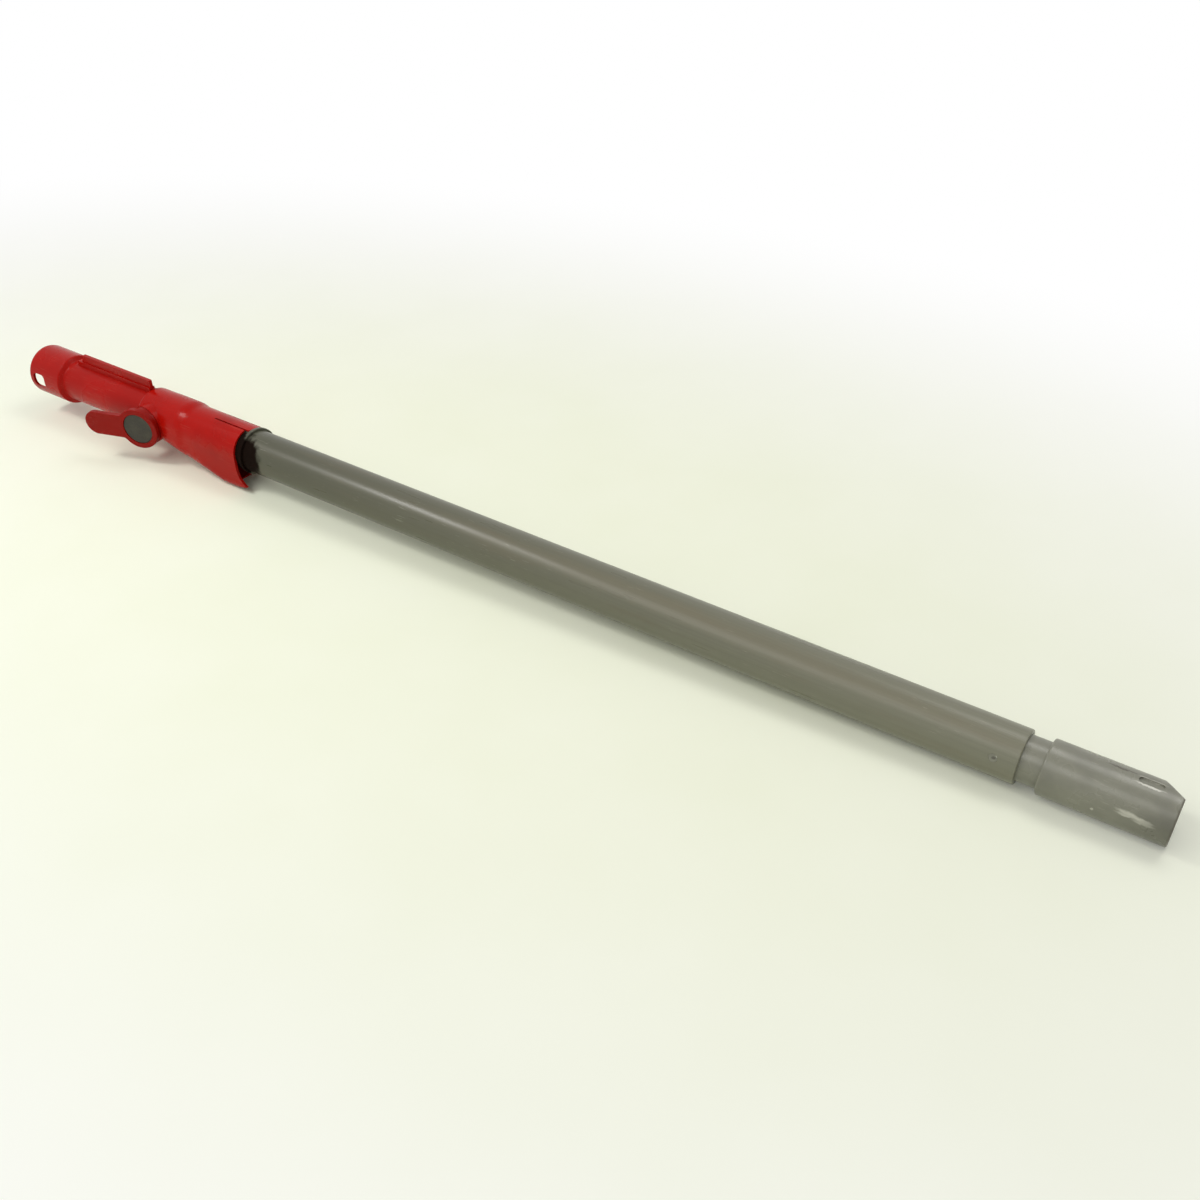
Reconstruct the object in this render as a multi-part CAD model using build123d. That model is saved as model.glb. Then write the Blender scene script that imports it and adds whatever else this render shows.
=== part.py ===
from build123d import *
import math
import os

# Vacuum extension wand, lying on its shroud and its tip, in millimetres.
# X runs along the wand from the hose socket's mouth (X = 0) to the tip, Z is up,
# and the cord hook is on the -Y side.

# Driving dimensions: tube
tube_od = 35.0
tube_wall = 2.4
tube_length = 729.0
tube_end_round = 0.8

# Driving dimensions: head moulding, along the wand
collar_length = 40.0
shoulder_length = 3.0
body_ramp = 3.0
neck_length = 100.0
body_length = 22.0
flare_length = 75.0
skirt_length = 29.7
socket_depth = 36.0
tube_insertion = 25.0

# Driving dimensions: head moulding, across the wand
collar_od = 43.6
socket_bore = 39.2
neck_od = 35.6
body_od = 41.0
airway_bore = 30.0
skirt_width = 38.6
skirt_drop = 32.0
skirt_corner = 8.0
skirt_wall = 2.2
crown_height = 18.8
crown_length = 25.0
crown_step_length = 11.0
collar_round = 1.6
shoulder_round = 2.0
body_round = 2.5

# Driving dimensions: rim of the shroud
rim_setback = 8.7
rim_sweep_top = 10.0
rim_tip_drop = 25.2
rim_toe_length = 25.0
notch_width = 30.0
notch_depth = 21.0
notch_round = 12.0
finger_width = 12.0
finger_offset = 3.6
finger_slit = 1.2
finger_slit_length = 35.0
finger_reach = 5.0
finger_round = 2.5

# Driving dimensions: guide rail on the neck
rail_height = 11.0
rail_ledge_height = 4.6
rail_base_width = 5.4
rail_top_width = 3.0
rail_ramp = 12.0
rail_start = 3.0
rail_overlap = 2.5

# Driving dimensions: latch window in the socket
window_length = 15.0
window_height = 12.6
window_round = 4.0
window_center = 13.0

# Driving dimensions: cord hook and its pivot
post_diameter = 33.0
post_offset = 15.0
post_stand = 0.5
stub_diameter = 12.0
stub_length = 3.0
hook_hub_diameter = 36.0
hook_barrel_diameter = 32.0
hook_reach = 50.5
hook_tab_width = 21.0
hook_plate = 4.0
hook_cant = 18.0
hook_rise = 10.3
hook_root_round = 3.0
hook_edge_round = 0.8
counterbore_diameter = 19.2
cap_diameter = 26.6
cap_thickness = 1.6
cap_recess = 0.4
cap_edge_round = 0.5
washer_diameter = 17.0
washer_thickness = 0.8
screw_diameter = 4.0
screw_length = 8.0
screw_head_diameter = 9.0
screw_head_height = 1.8
screw_drive_width = 1.2
screw_drive_depth = 0.9
screw_tip_gap = 0.5

# Driving dimensions: tube ring and end spigot
ring_od = 38.8
ring_width = 3.0
plug_length = 46.0
plug_bore = 25.2
groove_length = 12.5
groove_od = 29.2
tip_length = 74.3
tip_wall = 2.5
tip_taper_length = 9.0
tip_edge_round = 1.2
tip_cut_length = 13.0
tip_cut_depth = 7.0
tip_cut_angle = 45.0
key_slot_length = 14.0
key_slot_width = 5.0
key_slot_depth = 1.2
key_slot_from_end = 25.4
stud_diameter = 5.0
stud_from_shoulder = 14.0
stud_angle = 18.0

# Clearances
glue_gap = 0.12
pivot_gap = 0.06
face_gap = 0.3
screw_gap = 0.1
cap_gap = 0.15
stud_gap = 0.1

# Run of a cutter past the faces that it cuts, and of a join into its neighbour
overrun = 1.0

# Stations worked out along the wand
neck_start = collar_length + shoulder_length
body_start = neck_start + neck_length
flare_start = body_start + body_length
flare_end = flare_start + flare_length
skirt_end = flare_end + skirt_length
crown_end = flare_start + crown_length
crown_step_end = crown_end + crown_step_length
tube_start = crown_step_end - tube_insertion
tube_end = tube_start + tube_length
tip_start = tube_end + groove_length
tip_end = tip_start + tip_length
rim_face = skirt_end - rim_setback
finger_end = rim_face + finger_reach
ring_start = finger_end + face_gap
post_x = body_start + post_offset
tube_bore = tube_od - 2 * tube_wall
plug_od = tube_bore - 2 * glue_gap
tube_seat = tube_od + 2 * glue_gap
post_face = body_od / 2 + post_stand
hook_face = post_face + hook_rise
beyond = 2 * (collar_od + skirt_drop)


def rod(diameter, x_from, x_to):
    """Round bar along the wand between two stations."""
    bar = Cylinder(diameter / 2, x_to - x_from, align=(Align.CENTER, Align.CENTER, Align.MIN))
    return Pos(x_from, 0, 0) * Rot(0, 90, 0) * bar


def post_rod(diameter, depth_from, depth_to):
    """Round bar on the pivot axis; depths are measured outwards from the wand's axis."""
    bar = Cylinder(diameter / 2, depth_to - depth_from, align=(Align.CENTER, Align.CENTER, Align.MIN))
    return Pos(post_x, -depth_from, 0) * Rot(90, 0, 0) * bar


def turned(points):
    """Solid turned about the wand's axis from (station, radius) points."""
    outline = Polyline(*[(x, 0, r) for x, r in points], close=True)
    return revolve(make_face(outline), axis=Axis.X)


def skirt_section(x, width, top, bottom, top_round, bottom_round):
    """Upright section of the shroud: a box with a round crown and rounded lower corners."""
    outline = Pos(0, (top + bottom) / 2) * Rectangle(width, top - bottom)
    crown = outline.vertices().group_by(Axis.Y)[-1]
    outline = fillet(crown, top_round)
    foot = outline.vertices().group_by(Axis.Y)[0]
    outline = fillet(foot, bottom_round)
    return Plane.YZ.offset(x) * outline


def skirt_solid(inset, x_from, x_to):
    """Flared shroud shrunk by a wall thickness; its round crown steps down behind the body."""
    round_share = 0.97
    body_radius = body_od / 2
    body_corner = round_share * body_radius
    stations = [
        (flare_start, 0),
        (crown_end, 0),
        (crown_end + crown_step_length / 4, 0.16),
        (crown_end + crown_step_length / 2, 0.5),
        (crown_step_end - crown_step_length / 4, 0.84),
        (crown_step_end, 1),
        (flare_end, 1),
    ]
    sections = []
    for x, step in stations:
        flare = (x - flare_start) / flare_length
        half = body_radius + step * (skirt_width / 2 - body_radius) - inset
        crown = body_radius + step * (crown_height - body_radius) - inset
        drop = body_radius + flare * (skirt_drop - body_radius) - inset
        corner = body_corner + flare * (skirt_corner - body_corner) - inset
        sections.append(skirt_section(x, 2 * half, crown, -drop, min(round_share * half, crown), corner))
    cone = loft(sections, ruled=True)
    skirt = extrude(sections[-1], skirt_length + overrun)
    span = Box(x_to - x_from, beyond, beyond, align=(Align.MIN, Align.CENTER, Align.CENTER))
    keep = Pos(x_from, 0, 0) * span
    return (cone + skirt) & keep


def rim_cutter():
    """Side outline of everything past the shroud's swept rim and under its pointed lower corners."""
    with BuildSketch(Plane.XZ) as side:
        with BuildLine():
            top = (rim_face, beyond)
            bend = (rim_face, -rim_sweep_top)
            tip = (skirt_end, -rim_tip_drop)
            toe = (skirt_end - rim_toe_length, -skirt_drop)
            Line(top, bend)
            TangentArc(bend, tip, tangent=(0, -1))
            far = skirt_end + beyond
            Polyline(tip, toe, (toe[0], -beyond), (far, -beyond), (far, beyond), top)
        make_face()
    return extrude(side.sketch, beyond, both=True)


def notch_cutter():
    """Rounded notch in the shroud's bottom wall, open towards the tip."""
    length = 2 * notch_depth
    plan = Pos(skirt_end - notch_depth + length / 2, 0) * Rectangle(length, notch_width)
    inner = plan.vertices().group_by(Axis.X)[0]
    plan = fillet(inner, notch_round)
    return Pos(0, 0, -beyond) * extrude(plan, beyond - tube_od / 2)


def finger_block(width, x_from, x_to, low, high):
    """Box over the top of the shroud, used for the finger and its slits."""
    box = Box(x_to - x_from, width, high - low, align=(Align.MIN, Align.CENTER, Align.MIN))
    return Pos(x_from, finger_offset, low) * box


def guide_rail():
    """Stepped rail on top of the neck, ramped up behind the collar."""
    rail_from = neck_start + rail_start
    rail_end = body_start + rail_overlap
    rail = Part()
    for width, height in ((rail_base_width, rail_ledge_height), (rail_top_width, rail_height)):
        top = neck_od / 2 + height
        rise = rail_ramp * height / rail_height
        corners = [(rail_from, 0), (rail_from + rise, top), (rail_end, top), (rail_end, 0)]
        outline = Polyline(*corners, close=True)
        side = make_face(Plane.XZ * outline)
        rail += extrude(side, width / 2, both=True)
    return rail


def socket_and_body():
    """Solid turned outside of the socket's collar, the neck and the body."""
    mouth = (0, collar_od / 2)
    shoulder = (collar_length, collar_od / 2)
    neck_root = (neck_start, neck_od / 2)
    neck_end = (body_start, neck_od / 2)
    body_edge = (body_start + body_ramp, body_od / 2)
    body_end = (flare_start + overrun, body_od / 2)
    outline = Polyline((0, 0), mouth, shoulder, neck_root, neck_end, body_edge, body_end,
                       (flare_start + overrun, 0), close=True)
    profile = make_face(outline)
    rounds = ((mouth, collar_round), (shoulder, shoulder_round), (neck_root, shoulder_round),
              (neck_end, body_round), (body_edge, body_round))
    for corner, radius in rounds:
        profile = fillet(profile.vertices().sort_by_distance(corner)[0], radius)
    return revolve(profile, axis=Axis.X)


def head_moulding():
    """Red moulding: socket, neck with rail, body with hook post, and flared shroud."""
    outer = socket_and_body()
    outer += skirt_solid(0, flare_start, skirt_end)
    outer += guide_rail()
    outer += post_rod(post_diameter, 0, post_face)
    outer += post_rod(stub_diameter, 0, post_face + stub_length)

    head = outer - rod(socket_bore, -overrun, socket_depth)
    head -= rod(airway_bore, 0, tube_start + overrun)
    head -= rod(tube_seat, tube_start, skirt_end + overrun)
    head -= skirt_solid(skirt_wall, crown_step_end, skirt_end + overrun)
    screw_hole_end = post_face + stub_length - screw_length - screw_tip_gap
    head -= post_rod(screw_diameter + 2 * screw_gap, screw_hole_end, post_face + stub_length + overrun)

    head -= rim_cutter()
    head -= notch_cutter()
    head -= finger_slits()
    head += finger_end_block()

    window = Pos(window_center, 0) * RectangleRounded(window_length, window_height, window_round)
    head -= extrude(Plane.XZ * window, collar_od)
    return head


def finger_slits():
    """Two slits that free the finger from the shroud's crown."""
    slit_from = rim_face - finger_slit_length
    outside = finger_width + 2 * finger_slit
    slits = finger_block(outside, slit_from, skirt_end, 0, 2 * crown_height)
    return slits - finger_block(finger_width, slit_from - overrun, skirt_end + overrun, -overrun, beyond)


def finger_end_block():
    """End of the finger, past the rim, with rounded corners."""
    block = finger_block(finger_width, rim_face - overrun, finger_end, 0, crown_height)
    corners = block.edges().filter_by(Axis.Z).group_by(Axis.X)[-1]
    block = fillet(corners, finger_round)
    return (block & skirt_crown()) - rod(tube_seat, flare_end, skirt_end)


def skirt_crown():
    """Wall of the shroud's straight end, before its rim is cut."""
    inside = skirt_solid(skirt_wall, flare_end - overrun, skirt_end + overrun)
    return skirt_solid(0, flare_end, skirt_end) - inside


def hook_plane():
    """Front face of the hook, canted so that the tab stands away from the wand."""
    cant = math.radians(hook_cant)
    return Plane(origin=(post_x, -hook_face, 0), x_dir=(-math.cos(cant), -math.sin(cant), 0),
                 z_dir=(math.sin(cant), -math.cos(cant), 0))


def cord_hook():
    """Swivelling hook: hub and tab in one canted plate, on a barrel that turns on the post."""
    hub = Circle(hook_hub_diameter / 2)
    tab_length = hook_reach - hook_tab_width / 2
    tab = Pos(tab_length / 2, 0) * Rectangle(tab_length, hook_tab_width)
    tab += Pos(tab_length, 0) * Circle(hook_tab_width / 2)
    outline = hub + tab
    roots = outline.vertices().filter_by(lambda v: v.X < hook_hub_diameter / 2)
    outline = fillet(roots, hook_root_round)
    face = hook_plane()
    plate = extrude(face * outline, -hook_plate)
    plate = fillet(plate.faces().sort_by(Axis(face.origin, face.z_dir))[-1].edges(), hook_edge_round)
    barrel = post_rod(hook_barrel_diameter, post_face + face_gap, hook_face + hook_barrel_diameter)
    barrel -= extrude(face * Circle(4 * hook_hub_diameter), 4 * hook_hub_diameter)
    barrel = barrel & extrude(face * Circle(hook_hub_diameter / 2), -2 * hook_hub_diameter)
    hook = plate + barrel
    hook -= post_rod(stub_diameter + 2 * pivot_gap, 0, hook_face)
    hook -= post_rod(counterbore_diameter, post_face + stub_length - face_gap, hook_face + hook_hub_diameter)
    hook -= extrude(face * Circle(cap_diameter / 2 + cap_gap), -(cap_thickness + cap_recess))
    return hook


def hook_cap():
    """Dark cap pressed into the hub over the pivot screw."""
    face = hook_plane().offset(-cap_recess)
    cap = extrude(face * Circle(cap_diameter / 2), -cap_thickness)
    rim = cap.faces().sort_by(Axis(face.origin, face.z_dir))[-1].edges()
    return fillet(rim, cap_edge_round)


def pivot_washer():
    """Washer on the post's stub that keeps the hook on."""
    seat = post_face + stub_length
    washer = post_rod(washer_diameter, seat, seat + washer_thickness)
    hole = post_rod(screw_diameter + 2 * screw_gap, seat - overrun, seat + washer_thickness + overrun)
    return washer - hole


def pivot_screw():
    """Flat-headed screw into the post, with a slotted drive."""
    seat = post_face + stub_length
    under_head = seat + washer_thickness
    top = under_head + screw_head_height
    screw = post_rod(screw_diameter, seat - screw_length, under_head + screw_head_height / 2)
    screw += post_rod(screw_head_diameter, under_head, top)
    slot = Box(screw_head_diameter + overrun, 2 * screw_drive_depth, screw_drive_width)
    return screw - Pos(post_x, -top, 0) * slot


def main_tube():
    """Grey tube from the head to the spigot, with a hole for the spigot's locking stud."""
    tube = rod(tube_od, tube_start, tube_end) - rod(tube_bore, tube_start - overrun, tube_end + overrun)
    outer_rim = tube.edges().group_by(Axis.X)[-1].sort_by(SortBy.RADIUS)[-1]
    tube = fillet(outer_rim, tube_end_round)
    return tube - stud_bar(stud_diameter + 2 * stud_gap, plug_bore / 2, tube_od)


def stud_bar(diameter, r_from, r_to):
    """Radial bar at the locking stud's place."""
    bar = Cylinder(diameter / 2, r_to - r_from, align=(Align.CENTER, Align.CENTER, Align.MIN))
    turn = Rot(90 - stud_angle, 0, 0)
    return Pos(tube_end - stud_from_shoulder, 0, 0) * turn * Pos(0, 0, r_from) * bar


def tube_ring():
    """Ring glued on the tube, which the head's finger bears against."""
    ring = rod(ring_od, ring_start, ring_start + ring_width)
    ring = fillet(ring.edges(), ring_width / 6)
    return ring - rod(tube_seat, ring_start - overrun, ring_start + ring_width + overrun)


def end_spigot():
    """Plug in the tube's end, a groove, and the tip that fits a floor tool."""
    plug_start = tube_end - plug_length
    spigot = rod(plug_od, plug_start, tube_end)
    spigot += rod(groove_od, tube_end - overrun, tip_start + overrun)
    tip = rod(tube_od, tip_start, tip_end)
    spigot += fillet(tip.edges(), tip_edge_round)
    tip_bore = tube_od - 2 * tip_wall
    spigot -= rod(plug_bore, plug_start - overrun, tip_end + overrun)
    taper = [(tip_start, 0), (tip_start, plug_bore / 2), (tip_start + tip_taper_length, tip_bore / 2),
             (tip_end + overrun, tip_bore / 2), (tip_end + overrun, 0)]
    spigot -= turned(taper)
    spigot -= tip_cutter()
    slot_center = tip_end - key_slot_from_end + key_slot_length / 2
    slot = Pos(slot_center, 0) * SlotOverall(key_slot_length, key_slot_width)
    spigot -= Pos(0, 0, tube_od / 2 - key_slot_depth) * extrude(slot, key_slot_depth + overrun)
    spigot += stud_bar(stud_diameter, plug_od / 2 - overrun, tube_od / 2 - stud_gap)
    return spigot


def tip_cutter():
    """Slanting lead-in cut across one upper side of the tip."""
    reach = tube_od
    outline = Polyline((tip_end - tip_cut_length, tube_od / 2), (tip_end + reach, tube_od / 2 - tip_cut_depth
                       * (tip_cut_length + reach) / tip_cut_length), (tip_end + reach, 2 * tube_od),
                       (tip_end - tip_cut_length, 2 * tube_od), close=True)
    wedge = extrude(make_face(Plane.XZ * outline), 2 * tube_od, both=True)
    return Rot(tip_cut_angle - 90, 0, 0) * wedge


os.makedirs("parts", exist_ok=True)
pieces = {
    "head_moulding": head_moulding(),
    "main_tube": main_tube(),
    "tube_ring": tube_ring(),
    "end_spigot": end_spigot(),
    "cord_hook": cord_hook(),
    "hook_cap": hook_cap(),
    "pivot_washer": pivot_washer(),
    "pivot_screw": pivot_screw(),
}
for name, piece in pieces.items():
    export_step(piece, f"parts/{name}.step")
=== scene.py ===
import math

import bpy
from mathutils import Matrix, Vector

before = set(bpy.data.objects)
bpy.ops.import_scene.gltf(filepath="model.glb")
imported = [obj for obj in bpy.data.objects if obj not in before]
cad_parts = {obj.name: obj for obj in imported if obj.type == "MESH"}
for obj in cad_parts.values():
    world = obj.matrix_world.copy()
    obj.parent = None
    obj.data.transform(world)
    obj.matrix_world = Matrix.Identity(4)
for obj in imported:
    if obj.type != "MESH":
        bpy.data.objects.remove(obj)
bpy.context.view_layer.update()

bl_info = {
    "name": "Vacuum extension wand",
    "version": (1, 0, 0),
    "blender": (4, 5, 0),
    "location": "View3D > Sidebar > Wand",
    "description": "Gives the wand's solids their plastics and wear, and sets its stage",
    "category": "Object",
}

# Refractive indices of the plastics.
ABS_IOR = 1.5
POLYPROPYLENE_IOR = 1.49

# X of the hook's pivot, and the tube's ends between which its grey changes, in millimetres.
PIVOT_X = 158.0
TUBE_SHADING_ENDS = (270.0, 900.0)

# Pale colour of the scuff on the tip.
SCUFF = "#D3D2C6"

# Points of the wand that rest on the board, in millimetres.
HEEL = (244.7, 0.0, -32.0)
TOE = (990.6, 0.0, -17.5)

# Area round the wand where the board keeps its colour: centre and half lengths in millimetres, and edge.
BOARD_AREA = ((480, 0, -25), (780, 460, 900), 0.7)

# Colour of all the light, and strength of the studio's light on surfaces and to the eye.
LIGHT_TINT = (1.0, 0.99, 0.96)
STUDIO_FILL = 0.44
STUDIO_SEEN = 1.0

# Each lamp's name, place, aim and size in metres, and power in watts.
LAMPS = (
    ("overhead", (0.95, 0.55, 1.5), (0.6, 0.0, 0.0), (0.9, 0.6), 6.5),
    ("window", (0.15, -1.5, 1.8), (0.55, 0.0, 0.0), (1.9, 1.0), 14.5),
    ("key", (-0.285, -0.438, 0.986), (0.45, 0.0, 0.0), (0.27, 0.27), 4.7),
)

# Camera's place and lens in millimetres, and its dip and turn in degrees.
CAMERA_PLACE = (989.9, -570.2, 507.0)
CAMERA_LENS = 36.9
CAMERA_SENSOR = 36.0
CAMERA_DIP = 36.97
CAMERA_TURN = 33.99


def linear(hex_colour):
    """Linear colour, with full alpha, of an sRGB hex value."""
    shares = [int(hex_colour[i:i + 2], 16) / 255 for i in (1, 3, 5)]
    levels = [s / 12.92 if s <= 0.04045 else ((s + 0.055) / 1.055) ** 2.4 for s in shares]
    return (*levels, 1.0)


def per_mm(size):
    """Pattern scale, on coordinates in metres, for a feature of this size in millimetres."""
    return 1000.0 / size


def metres(*values):
    """Millimetres as metres."""
    return tuple(v / 1000.0 for v in values)


def add_node(tree, kind, settings=None, inputs=None):
    """Adds a node, sets its own settings, and sets or links its inputs.

    Inputs that share a name go by index. A Mix node has its share at 0, values at 2 and 3,
    and colours at 6 and 7.
    """
    node = tree.nodes.new(kind)
    for name, value in (settings or {}).items():
        setattr(node, name, value)
    for name, value in (inputs or {}).items():
        if isinstance(value, bpy.types.NodeSocket):
            tree.links.new(value, node.inputs[name])
        else:
            node.inputs[name].default_value = value
    return node


def new_material(name):
    """Empty material with a surface shader; returns the material, its tree, the shader and the place."""
    material = bpy.data.materials.new(name)
    material.use_nodes = True
    tree = material.node_tree
    tree.nodes.clear()
    shader = add_node(tree, "ShaderNodeBsdfPrincipled")
    add_node(tree, "ShaderNodeOutputMaterial", inputs={"Surface": shader.outputs["BSDF"]})
    place = add_node(tree, "ShaderNodeTexCoord").outputs["Object"]
    return material, tree, shader, place


def ragged(tree, place, size, reach):
    """Place shifted by up to half of a reach in clumps of a size, both in millimetres."""
    clumps = add_node(tree, "ShaderNodeTexNoise", None,
                      {"Vector": place, "Scale": per_mm(size), "Detail": 3.0})
    shift = add_node(tree, "ShaderNodeVectorMath", {"operation": "SUBTRACT"},
                     {0: clumps.outputs["Color"], 1: (0.5, 0.5, 0.5)})
    moved = add_node(tree, "ShaderNodeVectorMath", {"operation": "MULTIPLY_ADD"},
                     {0: shift.outputs["Vector"], 1: metres(reach, reach, reach), 2: place})
    return moved.outputs["Vector"]


def patch(tree, place, centre, half, edge):
    """Soft-edged mask of an ellipsoid, given by its centre and half lengths in millimetres."""
    offset = add_node(tree, "ShaderNodeVectorMath", {"operation": "SUBTRACT"}, {0: place, 1: metres(*centre)})
    scaled = add_node(tree, "ShaderNodeVectorMath", {"operation": "DIVIDE"},
                      {0: offset.outputs["Vector"], 1: metres(*half)})
    reach = add_node(tree, "ShaderNodeVectorMath", {"operation": "LENGTH"}, {0: scaled.outputs["Vector"]})
    mask = add_node(tree, "ShaderNodeMapRange", {"interpolation_type": "SMOOTHSTEP"},
                    {"Value": reach.outputs["Value"], "From Min": 1.0 + edge, "From Max": 1.0 - edge})
    return mask.outputs["Result"]


def marked(tree, place, shade, marks):
    """Shade with marks laid over it; each has a centre, half lengths, edge, share and colour."""
    for centre, half, edge, share, colour in marks:
        part = add_node(tree, "ShaderNodeMath", {"operation": "MULTIPLY"},
                        {0: patch(tree, place, centre, half, edge), 1: share})
        mix = add_node(tree, "ShaderNodeMix", {"data_type": "RGBA"},
                       {0: part.outputs["Value"], 6: shade, 7: linear(colour)})
        shade = mix.outputs[2]
    return shade


def scattered(tree, place, stretch, size, low, high, area_size):
    """Mask of marks of a size in millimetres, drawn out by a stretch along the wand, in scattered areas."""
    drawn = add_node(tree, "ShaderNodeMapping", None, {"Vector": place, "Scale": (1.0 / stretch, 1.0, 1.0)})
    marks = add_node(tree, "ShaderNodeTexNoise", None,
                     {"Vector": drawn.outputs["Vector"], "Scale": per_mm(size), "Detail": 2.0})
    cut = add_node(tree, "ShaderNodeMapRange", {"interpolation_type": "SMOOTHSTEP"},
                   {"Value": marks.outputs["Fac"], "From Min": low, "From Max": high})
    areas = add_node(tree, "ShaderNodeTexNoise", None,
                     {"Vector": place, "Scale": per_mm(area_size), "Detail": 1.0})
    some = add_node(tree, "ShaderNodeMapRange", {"interpolation_type": "SMOOTHSTEP"},
                    {"Value": areas.outputs["Fac"], "From Min": 0.46, "From Max": 0.64})
    both = add_node(tree, "ShaderNodeMath", {"operation": "MULTIPLY"},
                    {0: cut.outputs["Result"], 1: some.outputs["Result"]})
    return both.outputs["Value"]


def moulded_red_abs(name, colour, deep, marks):
    """Injection-moulded ABS coloured through: even red, soft gloss, faint orange peel and pale rub marks."""
    material, tree, shader, place = new_material(name)

    # Cloudy flow of the melt, about 40 mm across.
    flow = add_node(tree, "ShaderNodeTexNoise", None, {"Vector": place, "Scale": per_mm(40), "Detail": 4.0})
    share = add_node(tree, "ShaderNodeMapRange", {"interpolation_type": "SMOOTHSTEP"},
                     {"Value": flow.outputs["Fac"], "From Min": 0.38, "From Max": 0.68})
    cloudy = add_node(tree, "ShaderNodeMix", {"data_type": "RGBA"},
                      {0: share.outputs["Result"], 6: (*colour, 1.0), 7: deep})

    # Rubs about 1 mm wide and 20 mm long, thinned to a faint haze.
    rubs = scattered(tree, place, 20.0, 1.0, 0.56, 0.74, 30)
    haze = add_node(tree, "ShaderNodeMath", {"operation": "MULTIPLY"}, {0: rubs, 1: 0.1})
    rubbed = add_node(tree, "ShaderNodeMix", {"data_type": "RGBA"},
                      {0: haze.outputs["Value"], 6: cloudy.outputs[2], 7: linear("#D08A78")})
    shade = marked(tree, ragged(tree, place, 3, 1.0), rubbed.outputs[2], marks)
    tree.links.new(shade, shader.inputs["Base Color"])

    # Gloss is lost in patches where hands and tools have rubbed it.
    gloss = add_node(tree, "ShaderNodeMapRange", None,
                     {"Value": flow.outputs["Fac"], "From Min": 0.3, "From Max": 0.7,
                      "To Min": 0.22, "To Max": 0.32})
    tree.links.new(gloss.outputs["Result"], shader.inputs["Roughness"])
    shader.inputs["IOR"].default_value = ABS_IOR
    shader.inputs["Specular IOR Level"].default_value = 0.1

    # Orange peel of the mould, 2 mm from crest to crest.
    peel = add_node(tree, "ShaderNodeTexNoise", None, {"Vector": place, "Scale": per_mm(2.0), "Detail": 2.0})
    bump = add_node(tree, "ShaderNodeBump", None,
                    {"Strength": 0.1, "Distance": 0.0001, "Height": peel.outputs["Fac"]})
    tree.links.new(bump.outputs["Normal"], shader.inputs["Normal"])
    return material


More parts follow.
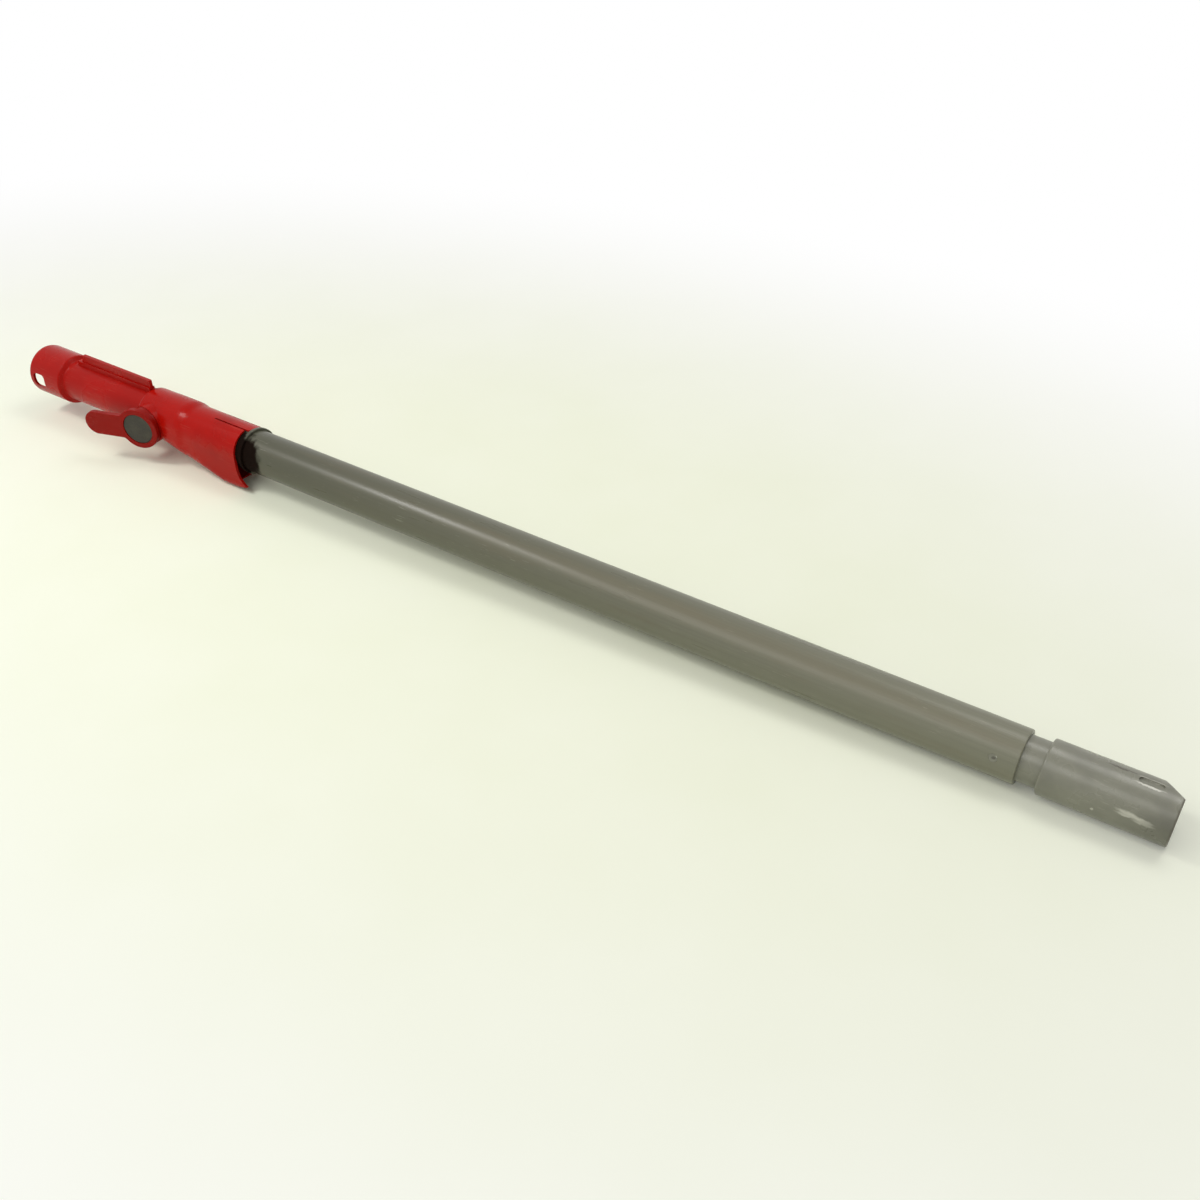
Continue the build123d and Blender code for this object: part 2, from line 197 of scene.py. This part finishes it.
def extruded_grey_abs(near_head, near_tip, marks, shade_and_grime):
    """Extruded ABS: olive grey with satin gloss, fine lines drawn along the wand, stained by handling, and
    darkened by painted shade toward the head and inside the shroud.
    """
    material, tree, shader, place = new_material("extruded grey ABS")

    # The tube's grey darkens toward the head's end: painted shade.
    split = add_node(tree, "ShaderNodeSeparateXYZ", None, {"Vector": place})
    head_end, tip_end = metres(*TUBE_SHADING_ENDS)
    along = add_node(tree, "ShaderNodeMapRange", None,
                     {"Value": split.outputs["X"], "From Min": head_end, "From Max": tip_end})
    grey = add_node(tree, "ShaderNodeMix", {"data_type": "RGBA"},
                    {0: along.outputs["Result"], 6: (*near_head, 1.0), 7: (*near_tip, 1.0)})

    # Die lines about 1.2 mm apart, run out to a quarter of a metre.
    drawn = add_node(tree, "ShaderNodeMapping", None, {"Vector": place, "Scale": (0.005, 1.0, 1.0)})
    lines = add_node(tree, "ShaderNodeTexNoise", None,
                     {"Vector": drawn.outputs["Vector"], "Scale": per_mm(1.2), "Detail": 3.0})
    dark = add_node(tree, "ShaderNodeMapRange", None,
                    {"Value": lines.outputs["Fac"], "From Min": 0.35, "From Max": 0.75, "To Max": 0.16})
    lined = add_node(tree, "ShaderNodeMix", {"data_type": "RGBA"},
                     {0: dark.outputs["Result"], 6: grey.outputs[2], 7: linear("#4A493F")})

    # Stains about 8 mm wide and ten times as long, and a few pale scratches.
    long = add_node(tree, "ShaderNodeMapping", None, {"Vector": place, "Scale": (0.1, 1.0, 1.0)})
    stains = add_node(tree, "ShaderNodeTexNoise", None,
                      {"Vector": long.outputs["Vector"], "Scale": per_mm(8), "Detail": 4.0})
    brown = add_node(tree, "ShaderNodeMapRange", {"interpolation_type": "SMOOTHSTEP"},
                     {"Value": stains.outputs["Fac"], "From Min": 0.5, "From Max": 0.75, "To Max": 0.22})
    stained = add_node(tree, "ShaderNodeMix", {"data_type": "RGBA"},
                       {0: brown.outputs["Result"], 6: lined.outputs[2], 7: linear("#6B604C")})
    scratches = scattered(tree, place, 14.0, 0.7, 0.64, 0.74, 24)
    faint = add_node(tree, "ShaderNodeMath", {"operation": "MULTIPLY"}, {0: scratches, 1: 0.22})
    scratched = add_node(tree, "ShaderNodeMix", {"data_type": "RGBA"},
                         {0: faint.outputs["Value"], 6: stained.outputs[2], 7: linear("#B9B7A8")})
    shade = marked(tree, ragged(tree, place, 6, 5.0), scratched.outputs[2], marks)

    # Black-brown patch round the shroud's mouth, dull and dry, with a ragged edge: painted shade on the tube
    # inside the shroud, and baked-on grime past the ring.
    centre, half, edge = shade_and_grime
    shade_and_soil = patch(tree, ragged(tree, place, 6, 10.0), centre, half, edge)
    black = add_node(tree, "ShaderNodeMix", {"data_type": "RGBA"},
                     {0: shade_and_soil, 6: shade, 7: linear("#140B07")})
    tree.links.new(black.outputs[2], shader.inputs["Base Color"])

    gloss = add_node(tree, "ShaderNodeMapRange", None,
                     {"Value": stains.outputs["Fac"], "From Min": 0.3, "From Max": 0.7,
                      "To Min": 0.26, "To Max": 0.36})
    dull = add_node(tree, "ShaderNodeMix", None, {0: shade_and_soil, 2: gloss.outputs["Result"], 3: 0.85})
    tree.links.new(dull.outputs[0], shader.inputs["Roughness"])
    shader.inputs["IOR"].default_value = ABS_IOR
    dry = add_node(tree, "ShaderNodeMix", None, {0: shade_and_soil, 2: 0.3, 3: 0.04})
    tree.links.new(dry.outputs[0], shader.inputs["Specular IOR Level"])
    bump = add_node(tree, "ShaderNodeBump", None,
                    {"Strength": 0.12, "Distance": 0.00006, "Height": lines.outputs["Fac"]})
    tree.links.new(bump.outputs["Normal"], shader.inputs["Normal"])
    return material


def moulded_grey_abs(colour, marks):
    """Moulded ABS: olive grey and satin, scuffed pale where floor tools slide over it."""
    material, tree, shader, place = new_material("moulded grey ABS")
    cloud = add_node(tree, "ShaderNodeTexNoise", None, {"Vector": place, "Scale": per_mm(14), "Detail": 4.0})
    share = add_node(tree, "ShaderNodeMapRange", {"interpolation_type": "SMOOTHSTEP"},
                     {"Value": cloud.outputs["Fac"], "From Min": 0.4, "From Max": 0.7, "To Max": 0.5})
    cloudy = add_node(tree, "ShaderNodeMix", {"data_type": "RGBA"},
                      {0: share.outputs["Result"], 6: (*colour, 1.0), 7: linear("#6C6C62")})

    # Scratches 0.8 mm wide, ten times as long, from tools pushed on and pulled off.
    scratches = scattered(tree, place, 10.0, 0.8, 0.58, 0.72, 16)
    faint = add_node(tree, "ShaderNodeMath", {"operation": "MULTIPLY"}, {0: scratches, 1: 0.16})
    scratched = add_node(tree, "ShaderNodeMix", {"data_type": "RGBA"},
                         {0: faint.outputs["Value"], 6: cloudy.outputs[2], 7: linear("#C4C3B6")})
    shade = marked(tree, ragged(tree, place, 3, 2.5), scratched.outputs[2], marks)
    tree.links.new(shade, shader.inputs["Base Color"])

    gloss = add_node(tree, "ShaderNodeMapRange", None,
                     {"Value": cloud.outputs["Fac"], "From Min": 0.3, "From Max": 0.7,
                      "To Min": 0.24, "To Max": 0.36})
    tree.links.new(gloss.outputs["Result"], shader.inputs["Roughness"])
    shader.inputs["IOR"].default_value = ABS_IOR
    bump = add_node(tree, "ShaderNodeBump", None,
                    {"Strength": 0.12, "Distance": 0.00008, "Height": cloud.outputs["Fac"]})
    tree.links.new(bump.outputs["Normal"], shader.inputs["Normal"])
    return material


def sparked_polypropylene(colour):
    """Polypropylene moulded in a spark-eroded mould: dark, matte and slightly dusty."""
    material, tree, shader, place = new_material("sparked dark polypropylene")
    dust = add_node(tree, "ShaderNodeTexNoise", None, {"Vector": place, "Scale": per_mm(7), "Detail": 5.0})
    share = add_node(tree, "ShaderNodeMapRange", {"interpolation_type": "SMOOTHSTEP"},
                     {"Value": dust.outputs["Fac"], "From Min": 0.45, "From Max": 0.75, "To Max": 0.4})
    dusty = add_node(tree, "ShaderNodeMix", {"data_type": "RGBA"},
                     {0: share.outputs["Result"], 6: (*colour, 1.0), 7: linear("#4A4638")})
    tree.links.new(dusty.outputs[2], shader.inputs["Base Color"])

    # Spark pits are about 0.1 mm across, and drawn at 0.8 mm so that they show.
    pits = add_node(tree, "ShaderNodeTexNoise", None, {"Vector": place, "Scale": per_mm(0.8), "Detail": 2.0})
    gloss = add_node(tree, "ShaderNodeMapRange", None,
                     {"Value": pits.outputs["Fac"], "From Min": 0.3, "From Max": 0.7,
                      "To Min": 0.5, "To Max": 0.66})
    tree.links.new(gloss.outputs["Result"], shader.inputs["Roughness"])
    shader.inputs["IOR"].default_value = POLYPROPYLENE_IOR
    bump = add_node(tree, "ShaderNodeBump", None,
                    {"Strength": 0.3, "Distance": 0.0001, "Height": pits.outputs["Fac"]})
    tree.links.new(bump.outputs["Normal"], shader.inputs["Normal"])
    return material


def zinc_plated_steel(colour):
    """Zinc-plated steel: pale metal with a cloudy bloom and turning marks."""
    material, tree, shader, place = new_material("zinc-plated steel")
    bloom = add_node(tree, "ShaderNodeTexNoise", None, {"Vector": place, "Scale": per_mm(3), "Detail": 4.0})
    hazy = add_node(tree, "ShaderNodeMix", {"data_type": "RGBA"},
                    {0: bloom.outputs["Fac"], 6: (*colour, 1.0), 7: linear("#A9A79E")})
    tree.links.new(hazy.outputs[2], shader.inputs["Base Color"])
    shader.inputs["Metallic"].default_value = 1.0
    gloss = add_node(tree, "ShaderNodeMapRange", None,
                     {"Value": bloom.outputs["Fac"], "From Min": 0.3, "From Max": 0.7,
                      "To Min": 0.26, "To Max": 0.42})
    tree.links.new(gloss.outputs["Result"], shader.inputs["Roughness"])

    # Turning marks 0.4 mm apart run round the pivot's axis.
    centred = add_node(tree, "ShaderNodeMapping", None,
                       {"Vector": place, "Location": metres(-PIVOT_X, 0.0, 0.0)})
    turning = add_node(tree, "ShaderNodeTexWave", {"wave_type": "RINGS", "rings_direction": "Y"},
                       {"Vector": centred.outputs["Vector"], "Scale": per_mm(0.4) / 20, "Distortion": 0.6})
    bump = add_node(tree, "ShaderNodeBump", None,
                    {"Strength": 0.15, "Distance": 0.00003, "Height": turning.outputs["Fac"]})
    tree.links.new(bump.outputs["Normal"], shader.inputs["Normal"])
    return material


def seen_directly(tree):
    """Share of a ray that shows a surface to the eye, straight or by way of metal and glass."""
    rays = add_node(tree, "ShaderNodeLightPath")
    seen = add_node(tree, "ShaderNodeMath", {"operation": "MAXIMUM"},
                    {0: rays.outputs["Is Camera Ray"], 1: rays.outputs["Is Glossy Ray"]})
    either = add_node(tree, "ShaderNodeMath", {"operation": "MAXIMUM"},
                      {0: seen.outputs["Value"], 1: rays.outputs["Is Transmission Ray"]})
    return either.outputs["Value"]


def light_studio(tree):
    """Soft, slightly warm light from all round, in a studio that is white to the eye."""
    sky = tree.nodes["Background"]
    sky.inputs["Color"].default_value = (*LIGHT_TINT, 1.0)
    level = add_node(tree, "ShaderNodeMapRange", None,
                     {"Value": seen_directly(tree), "To Min": STUDIO_FILL, "To Max": STUDIO_SEEN})
    tree.links.new(level.outputs["Result"], sky.inputs["Strength"])


def painted_board(colour):
    """Painted board under the wand: pale and matte, white to the eye away from the wand."""
    material, tree, shader, place = new_material("painted board")
    mottle = add_node(tree, "ShaderNodeTexNoise", None, {"Vector": place, "Scale": per_mm(90), "Detail": 2.0})
    board = add_node(tree, "ShaderNodeMix", {"data_type": "RGBA"},
                     {0: mottle.outputs["Fac"], 6: (*colour, 1.0), 7: linear("#F0F4DF")})
    tree.links.new(board.outputs[2], shader.inputs["Base Color"])
    shader.inputs["Roughness"].default_value = 0.8
    shader.inputs["Specular IOR Level"].default_value = 0.1

    near = patch(tree, place, *BOARD_AREA)
    away = add_node(tree, "ShaderNodeMath", {"operation": "SUBTRACT"}, {0: 1.0, 1: near})
    white = add_node(tree, "ShaderNodeMath", {"operation": "MULTIPLY"},
                     {0: seen_directly(tree), 1: away.outputs["Value"]})
    glow = add_node(tree, "ShaderNodeEmission", None, {"Color": (1.0, 1.0, 1.0, 1.0), "Strength": 1.0})
    blend = add_node(tree, "ShaderNodeMixShader", None,
                     {0: white.outputs["Value"], 1: shader.outputs["BSDF"], 2: glow.outputs["Emission"]})
    output = tree.get_output_node("ALL")
    tree.links.new(blend.outputs["Shader"], output.inputs["Surface"])
    return material


def dress(node, material):
    """Gives a solid its material."""
    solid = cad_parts[node]
    solid.data.materials.clear()
    solid.data.materials.append(material)


class WandLooks(bpy.types.PropertyGroup):
    """Colours of the wand's materials and sizes of its stage."""

    red: bpy.props.FloatVectorProperty(
        name="Red", description="Head moulding's colour", subtype="COLOR", default=linear("#A60E06")[:3])
    # The hook's red is the head's red made darker: painted shade for the hook's faces turned from the light.
    shaded_hook_red: bpy.props.FloatVectorProperty(
        name="Hook red", description="Cord hook's colour", subtype="COLOR", default=linear("#8C0D06")[:3])
    head_end_grey: bpy.props.FloatVectorProperty(
        name="Tube grey at the head", description="Tube's colour at the head's end", subtype="COLOR",
        default=linear("#4F4F41")[:3])
    tip_end_grey: bpy.props.FloatVectorProperty(
        name="Tube grey at the tip", description="Tube's colour at the tip's end", subtype="COLOR",
        default=linear("#7E7E6E")[:3])
    tip_grey: bpy.props.FloatVectorProperty(
        name="Tip grey", description="End spigot's colour", subtype="COLOR", default=linear("#7F7F72")[:3])
    cap: bpy.props.FloatVectorProperty(
        name="Cap", description="Hook cap's colour", subtype="COLOR", default=linear("#2C2921")[:3])
    zinc: bpy.props.FloatVectorProperty(
        name="Zinc", description="Screw and washer's colour", subtype="COLOR", default=linear("#C9C7BF")[:3])
    floor: bpy.props.FloatVectorProperty(
        name="Floor", description="Board's colour", subtype="COLOR", default=linear("#F5F8E8")[:3])
    floor_size: bpy.props.FloatProperty(
        name="Floor size", description="Side of the board", unit="LENGTH", default=12.0)


class DressHead(bpy.types.Operator):
    """Gives the head moulding its red plastic"""

    bl_idname = "wand.dress_head"
    bl_label = "Head moulding"

    def execute(self, context):
        looks = context.scene.wand_looks
        marks = (
            # Grimy edge of the socket's mouth.
            ((-2.0, 0, 0), (2.9, 90, 90), 0.25, 0.75, "#4A1B10"),
            # Painted shade inside the shroud, round the tube.
            ((236, 0, -4), (46, 18.4, 22), 0.08, 0.8, "#3A0A07"),
        )
        dress("head_moulding", moulded_red_abs("moulded red ABS", looks.red, linear("#9C0D06"), marks))
        return {"FINISHED"}


class DressHook(bpy.types.Operator):
    """Gives the cord hook and its cap their plastics"""

    bl_idname = "wand.dress_hook"
    bl_label = "Cord hook and cap"

    def execute(self, context):
        looks = context.scene.wand_looks
        # The hook's darker red is painted shade.
        dress("cord_hook", moulded_red_abs("hook red ABS", looks.shaded_hook_red, linear("#850C06"), ()))
        dress("hook_cap", sparked_polypropylene(looks.cap))
        return {"FINISHED"}


class DressPivot(bpy.types.Operator):
    """Gives the pivot's screw and washer their plating"""

    bl_idname = "wand.dress_pivot"
    bl_label = "Pivot screw and washer"

    def execute(self, context):
        steel = zinc_plated_steel(context.scene.wand_looks.zinc)
        for node in ("pivot_screw", "pivot_washer"):
            dress(node, steel)
        return {"FINISHED"}


class DressTube(bpy.types.Operator):
    """Gives the tube and its ring their grey plastic"""

    bl_idname = "wand.dress_tube"
    bl_label = "Tube and ring"

    def execute(self, context):
        looks = context.scene.wand_looks
        marks = (
            # Brown tint along the top of the tube's second half, where its highlight band runs: painted
            # reflection.
            ((690, -9, 14.5), (230, 6, 5), 0.6, 0.2, "#7C7058"),
        )
        # Dark patch round the shroud's mouth: painted shade inside the shroud, and grime past the ring.
        shade_and_grime = ((253, -16, 2), (36, 24, 19), 0.1)
        plastic = extruded_grey_abs(looks.head_end_grey, looks.tip_end_grey, marks, shade_and_grime)
        for node in ("main_tube", "tube_ring"):
            dress(node, plastic)
        return {"FINISHED"}


class DressSpigot(bpy.types.Operator):
    """Gives the end spigot its scuffed grey plastic"""

    bl_idname = "wand.dress_spigot"
    bl_label = "End spigot"

    def execute(self, context):
        marks = (
            # Streaks of a scuff on the side, and a nick beside them.
            ((967.0, -17, 5.2), (5.0, 3, 0.9), 0.5, 0.6, SCUFF),
            ((967.6, -17, 3.4), (5.4, 3, 0.9), 0.5, 0.55, SCUFF),
            ((972.5, -17, 4.6), (4.0, 3, 0.8), 0.5, 0.5, SCUFF),
            ((976.6, -17, 3.9), (5.0, 3, 0.9), 0.5, 0.6, SCUFF),
            ((977.2, -17, 2.2), (5.2, 3, 1.0), 0.5, 0.55, SCUFF),
            ((949.7, -17.4, -1.9), (0.9, 2, 0.9), 0.3, 0.7, "#D0CFC2"),
            # Painted shade along the top beside the slot, and painted highlights on the slot's edges.
            ((957, 2.8, 17.3), (8.5, 0.8, 1.5), 0.3, 0.7, "#403A2E"),
            ((973, -3.2, 17), (7.6, 0.6, 1.2), 0.4, 0.7, "#DAD9CE"),
            ((973, 2.4, 17), (7.6, 0.6, 1.2), 0.4, 0.5, "#C9C8BC"),
            # Painted shade and painted highlight of the stud.
            ((891.5, -16.6, 5.4), (1.4, 2, 0.7), 0.3, 0.7, "#35312A"),
            ((893.2, -16.4, 6.6), (1.0, 2, 0.6), 0.3, 0.7, "#D6D5C9"),
            # Darker near, lower side of the end, and a dark edge round its face.
            ((990, -14, -4), (16, 18, 16), 0.5, 0.45, "#4E4D44"),
            ((993.5, 0, 0), (2.6, 90, 90), 0.3, 0.55, "#4B4132"),
        )
        dress("end_spigot", moulded_grey_abs(context.scene.wand_looks.tip_grey, marks))
        return {"FINISHED"}


class SetStage(bpy.types.Operator):
    """Lays the board under the wand and sets its lamps and camera"""

    bl_idname = "wand.set_stage"
    bl_label = "Stage"

    def execute(self, context):
        looks = context.scene.wand_looks
        scene = context.scene
        scene.view_settings.view_transform = "Standard"

        # The board touches the shroud's lower edge and the underside of the tip.
        heel = Vector(metres(*HEEL))
        toe = Vector(metres(*TOE))
        slope = math.atan2(toe.z - heel.z, toe.x - heel.x)
        bpy.ops.mesh.primitive_plane_add(
            size=looks.floor_size, location=(heel + toe) / 2, rotation=(0, -slope, 0))
        board = context.object
        board.name = "board"
        bpy.ops.object.transform_apply(location=True, rotation=True, scale=True)
        board.data.materials.append(painted_board(looks.floor))

        world = bpy.data.worlds.new("studio")
        scene.world = world
        world.use_nodes = True
        light_studio(world.node_tree)

        for name, place, aim, size, watts in LAMPS:
            lamp = bpy.data.lights.new(name, "AREA")
            lamp.shape = "RECTANGLE"
            lamp.size, lamp.size_y = size
            lamp.energy = watts
            lamp.color = LIGHT_TINT
            holder = bpy.data.objects.new(name, lamp)
            holder.location = place
            holder.rotation_euler = (Vector(aim) - Vector(place)).to_track_quat("-Z", "Y").to_euler()
            scene.collection.objects.link(holder)

        lens = bpy.data.cameras.new("camera")
        lens.lens = CAMERA_LENS
        lens.sensor_width = CAMERA_SENSOR
        camera = bpy.data.objects.new("camera", lens)
        camera.location = metres(*CAMERA_PLACE)
        camera.rotation_euler = (math.radians(90 - CAMERA_DIP), 0.0, math.radians(CAMERA_TURN))
        scene.collection.objects.link(camera)
        scene.camera = camera
        return {"FINISHED"}


class WandPanel(bpy.types.Panel):
    """Lists the wand's colours and steps"""

    bl_idname = "VIEW3D_PT_wand"
    bl_label = "Extension wand"
    bl_space_type = "VIEW_3D"
    bl_region_type = "UI"
    bl_category = "Wand"

    def draw(self, context):
        looks = context.scene.wand_looks
        for name in WandLooks.__annotations__:
            self.layout.prop(looks, name)
        for step in STEPS:
            self.layout.operator(step.bl_idname)


STEPS = (DressHead, DressHook, DressPivot, DressTube, DressSpigot, SetStage)


def register():
    for kind in (WandLooks, *STEPS, WandPanel):
        bpy.utils.register_class(kind)
    bpy.types.Scene.wand_looks = bpy.props.PointerProperty(type=WandLooks)


def unregister():
    del bpy.types.Scene.wand_looks
    for kind in reversed((WandLooks, *STEPS, WandPanel)):
        bpy.utils.unregister_class(kind)


def main():
    register()
    bpy.ops.wand.dress_head()
    bpy.ops.wand.dress_hook()
    bpy.ops.wand.dress_pivot()
    bpy.ops.wand.dress_tube()
    bpy.ops.wand.dress_spigot()
    bpy.ops.wand.set_stage()


if __name__ == "__main__":
    main()
